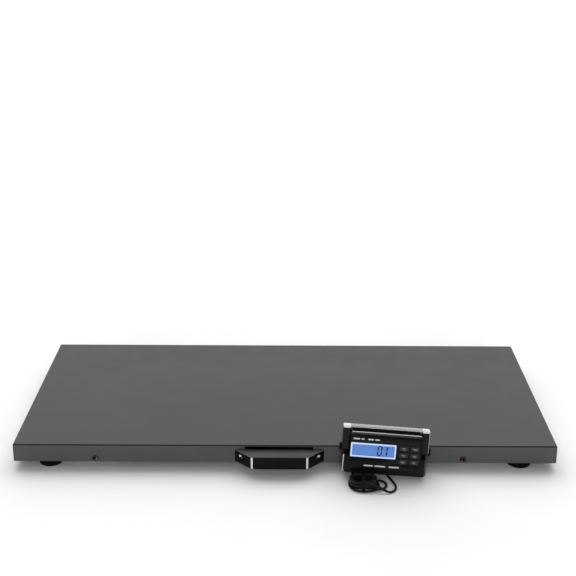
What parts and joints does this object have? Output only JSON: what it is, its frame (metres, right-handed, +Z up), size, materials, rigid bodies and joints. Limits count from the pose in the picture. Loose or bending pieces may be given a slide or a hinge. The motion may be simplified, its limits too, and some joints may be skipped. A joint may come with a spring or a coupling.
{
  "type": "animal weighing scale",
  "caption": "Low flat platform scale for livestock with levelling feet and a pull handle, wired to a small display unit that leans on its front edge.",
  "frame": {"origin": "on the floor, under the middle of the object measured without the free cable", "axes": "+X along the platform to the right, +Y from the front with the display to the back, +Z up"},
  "size_m": [1.067, 0.608, 0.1048],
  "materials": {
    "deck_paint": "satin dark grey paint",
    "zinc_steel": "zinc-plated, dull",
    "cell_aluminium": "milled",
    "foot_rubber": "matte black",
    "copper_screw": "copper-coloured plating",
    "grey_plastic": "matte",
    "handle_plastic": "glossy black",
    "case_plastic": "fine-grained black",
    "bracket_plastic": "satin black",
    "label_film": "satin film",
    "bezel_plastic": "pale, lit from behind",
    "display_blue": "blue backlit display",
    "key_plastic": "matte dark grey",
    "board_green": "solder mask",
    "cable_jacket": "satin black jacket"
  },
  "bodies": {
    "root": {"deck": "deck_paint", "rail_front": "zinc_steel", "rail_rear": "zinc_steel", "rail_left": "zinc_steel", "rail_right": "zinc_steel", "cell_spacer_front_left": "zinc_steel", "cell_spacer_front_right": "zinc_steel", "cell_spacer_rear_left": "zinc_steel", "cell_spacer_rear_right": "zinc_steel", "lock_nut_front_left": "zinc_steel", "lock_nut_front_right": "zinc_steel", "lock_nut_rear_left": "zinc_steel", "lock_nut_rear_right": "zinc_steel", "handle_screw_left": "zinc_steel", "handle_screw_right": "zinc_steel", "load_cell_front_left": "cell_aluminium", "load_cell_front_right": "cell_aluminium", "load_cell_rear_left": "cell_aluminium", "load_cell_rear_right": "cell_aluminium", "case_gland": "foot_rubber", "skirt_screw_left": "copper_screw", "skirt_screw_right": "copper_screw", "junction_box_base": "grey_plastic", "junction_box_lid": "grey_plastic", "battery_pack": "grey_plastic", "handle": "handle_plastic", "case_front": "case_plastic", "case_back": "case_plastic", "face_label": "label_film", "display_bezel": "bezel_plastic", "display_panel": "display_blue", "circuit_board": "board_green", "platform_gland": "cable_jacket", "cell_lead_front_left": "cable_jacket", "cell_lead_front_right": "cable_jacket", "cell_lead_rear_left": "cable_jacket", "cell_lead_rear_right": "cable_jacket", "cord_in": "cable_jacket", "cord_hank": "cable_jacket", "cord_out": "cable_jacket", "cord_tie": "cable_jacket"},
    "foot_front_left": {"foot_stud_front_left": "zinc_steel", "foot_pad_front_left": "foot_rubber"},
    "foot_front_right": {"foot_stud_front_right": "zinc_steel", "foot_pad_front_right": "foot_rubber"},
    "foot_rear_left": {"foot_stud_rear_left": "zinc_steel", "foot_pad_rear_left": "foot_rubber"},
    "foot_rear_right": {"foot_stud_rear_right": "zinc_steel", "foot_pad_rear_right": "foot_rubber"},
    "bracket": {"bracket": "bracket_plastic"},
    "knob_left": {"knob_left": "handle_plastic"},
    "knob_right": {"knob_right": "handle_plastic"},
    "key_1": {"key_1": "key_plastic"},
    "key_2": {"key_2": "key_plastic"},
    "key_3": {"key_3": "key_plastic"},
    "key_4": {"key_4": "key_plastic"},
    "key_5": {"key_5": "key_plastic"},
    "key_6": {"key_6": "key_plastic"},
    "battery_cover": {"battery_cover": "case_plastic"}
  },
  "joints": [
    {"name": "foot_front_left_turn", "type": "hinge", "parent": "root", "child": "foot_front_left", "pos_m": [-0.465, -0.20449, 0], "axis": [0, 0, 1], "range_deg": [-720, 720]},
    {"name": "foot_front_right_turn", "type": "hinge", "parent": "root", "child": "foot_front_right", "pos_m": [0.465, -0.20449, 0], "axis": [0, 0, 1], "range_deg": [-720, 720]},
    {"name": "foot_rear_left_turn", "type": "hinge", "parent": "root", "child": "foot_rear_left", "pos_m": [-0.465, 0.25351, 0], "axis": [0, 0, 1], "range_deg": [-720, 720]},
    {"name": "foot_rear_right_turn", "type": "hinge", "parent": "root", "child": "foot_rear_right", "pos_m": [0.465, 0.25351, 0], "axis": [0, 0, 1], "range_deg": [-720, 720]},
    {"name": "bracket_swing", "type": "hinge", "parent": "root", "child": "bracket", "pos_m": [0.19337, -0.25012, 0.05378], "axis": [0.9973, -0.0127, -0.0721], "range_deg": [-45, 90]},
    {"name": "knob_left_turn", "type": "hinge", "parent": "bracket", "child": "knob_left", "pos_m": [0.19337, -0.25012, 0.05378], "axis": [0.9973, -0.0127, -0.0721], "continuous": true},
    {"name": "knob_right_turn", "type": "hinge", "parent": "bracket", "child": "knob_right", "pos_m": [0.19337, -0.25012, 0.05378], "axis": [0.9973, -0.0127, -0.0721], "continuous": true},
    {"name": "key_1_press", "type": "slide", "parent": "root", "child": "key_1", "axis": [0, 0.9848, -0.1736], "range_m": [0, 0.0008], "stiffness_N_per_m": 500},
    {"name": "key_2_press", "type": "slide", "parent": "root", "child": "key_2", "axis": [0, 0.9848, -0.1736], "range_m": [0, 0.0008], "stiffness_N_per_m": 500},
    {"name": "key_3_press", "type": "slide", "parent": "root", "child": "key_3", "axis": [0, 0.9848, -0.1736], "range_m": [0, 0.0008], "stiffness_N_per_m": 500},
    {"name": "key_4_press", "type": "slide", "parent": "root", "child": "key_4", "axis": [0, 0.9848, -0.1736], "range_m": [0, 0.0008], "stiffness_N_per_m": 500},
    {"name": "key_5_press", "type": "slide", "parent": "root", "child": "key_5", "axis": [0, 0.9848, -0.1736], "range_m": [0, 0.0008], "stiffness_N_per_m": 500},
    {"name": "key_6_press", "type": "slide", "parent": "root", "child": "key_6", "axis": [0, 0.9848, -0.1736], "range_m": [0, 0.0008], "stiffness_N_per_m": 500},
    {"name": "battery_cover_slide", "type": "slide", "parent": "root", "child": "battery_cover", "axis": [-0.9973, 0.0127, 0.0721], "range_m": [0, 0.03]}
  ]
}
